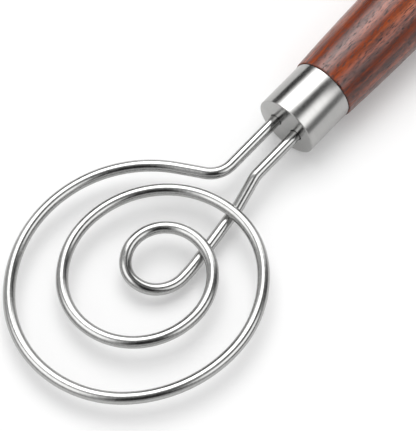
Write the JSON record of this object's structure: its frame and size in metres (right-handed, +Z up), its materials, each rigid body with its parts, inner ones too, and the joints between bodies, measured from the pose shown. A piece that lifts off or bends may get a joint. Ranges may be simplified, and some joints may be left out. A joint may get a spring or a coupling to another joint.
{
  "type": "dough whisk",
  "caption": "Dough whisk: a flat spiral of stiff steel wire on two legs, in a steel ferrule on a turned wooden handle with a hanging hole.",
  "frame": {"origin": "middle of the hanging hole, on the handle's axis", "axes": "+X along the handle, away from the loops; +Z up, square to the loops and along the hanging hole"},
  "size_m": [0.3296, 0.081, 0.0272],
  "materials": {
    "wire_steel": "polished stainless wire",
    "ferrule_steel": "satin, brushed round the axis",
    "handle_wood": "oiled red-brown hardwood, long grain",
    "adhesive": "cured epoxy"
  },
  "bodies": {
    "root": {"whisk_wire": "wire_steel", "ferrule": "ferrule_steel", "handle": "handle_wood", "wire_bond_left": "adhesive", "wire_bond_right": "adhesive", "ferrule_bond": "adhesive"}
  },
  "joints": []
}
